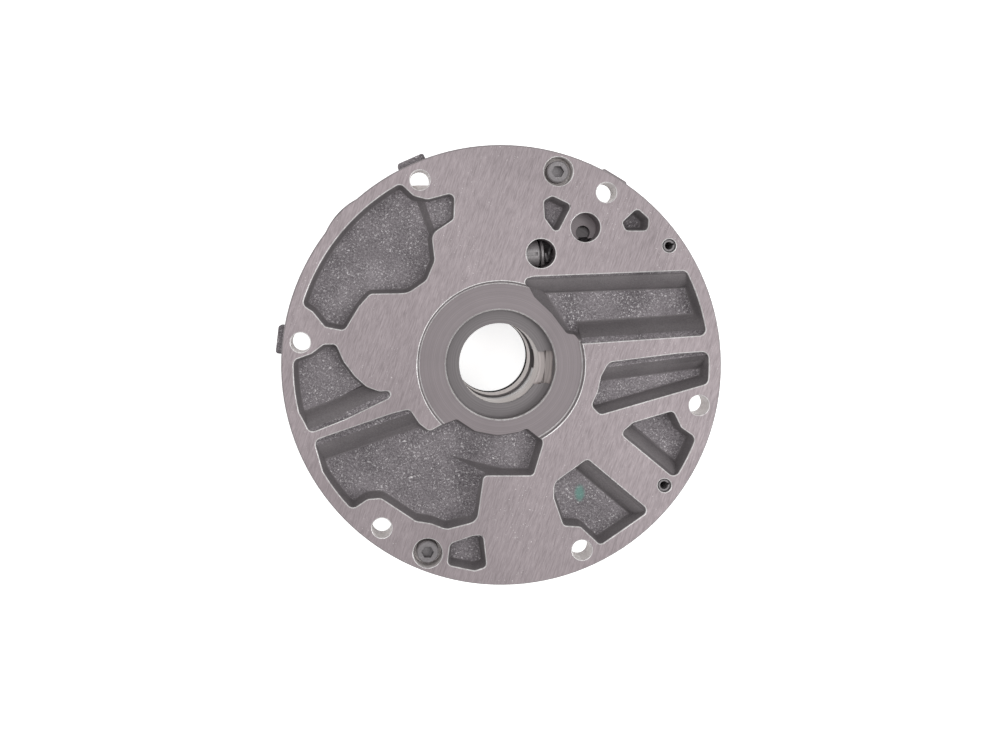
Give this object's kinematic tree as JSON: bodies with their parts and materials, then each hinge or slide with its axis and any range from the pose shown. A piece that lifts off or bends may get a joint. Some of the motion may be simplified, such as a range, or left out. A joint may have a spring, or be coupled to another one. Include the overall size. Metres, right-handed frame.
{
  "type": "engine oil pump",
  "caption": "Disc-shaped internal gear oil pump: ported cast housing with cross-drilled valves, gear housing behind, shaft bore through the middle.",
  "frame": {"origin": "on the axis of the main bore, halfway along its front bushing, 16.5 mm below the machined mating face", "axes": "+Z out of the mating face, along the main bore; +X to the right of the ported face"},
  "size_m": [0.2028, 0.2, 0.055],
  "materials": {
    "cast_iron": "machined mating face over rough cast pockets",
    "cast_iron_rear": "rough cast with machined faces",
    "gear_steel": "ground",
    "bearing_bronze": "turned",
    "plated_steel": "satin",
    "seal_rubber": "matte",
    "spring_steel": "satin",
    "black_steel": "black oxide",
    "ground_steel": "ground"
  },
  "bodies": {
    "housing": {"valve_housing": "cast_iron", "gear_housing": "cast_iron_rear", "front_bushing": "bearing_bronze", "hub_bushing": "bearing_bronze", "seal_case": "plated_steel", "seal_lip": "seal_rubber", "garter_spring": "spring_steel", "cap_screws": "black_steel", "dowel_pins": "gear_steel", "regulator_spring": "spring_steel", "regulator_plug": "ground_steel", "regulator_plug_seal": "seal_rubber", "regulator_pin": "black_steel", "relief_spring": "spring_steel", "relief_plug": "ground_steel", "relief_plug_seal": "seal_rubber", "relief_pin": "black_steel", "gallery_plugs": "plated_steel"},
    "drive_gear": {"drive_gear": "gear_steel"},
    "ring_gear": {"ring_gear": "gear_steel"},
    "regulator_spool": {"regulator_spool": "ground_steel"},
    "relief_spool": {"relief_spool": "ground_steel"}
  },
  "joints": [
    {"name": "ring_gear_spin", "type": "hinge", "parent": "housing", "child": "ring_gear", "pos_m": [-0.01039, 0.006, -0.0135], "axis": [0, 0, 1], "continuous": true},
    {"name": "drive_gear_spin", "type": "hinge", "parent": "housing", "child": "drive_gear", "pos_m": [0, 0, -0.0135], "axis": [0, 0, 1], "continuous": true},
    {"name": "regulator_slide", "type": "slide", "parent": "housing", "child": "regulator_spool", "axis": [0.9981, 0.061, 0], "range_m": [0, 0.008], "stiffness_N_per_m": 1500, "springref_m": -0.004, "deforming": ["regulator_spring"]},
    {"name": "relief_slide", "type": "slide", "parent": "housing", "child": "relief_spool", "axis": [0.7738, -0.6334, 0], "range_m": [0, 0.006], "stiffness_N_per_m": 1500, "springref_m": -0.004, "deforming": ["relief_spring"]}
  ],
  "couplings": [
    {"joint": "drive_gear_spin", "follows": "ring_gear_spin", "ratio": 1.375}
  ]
}
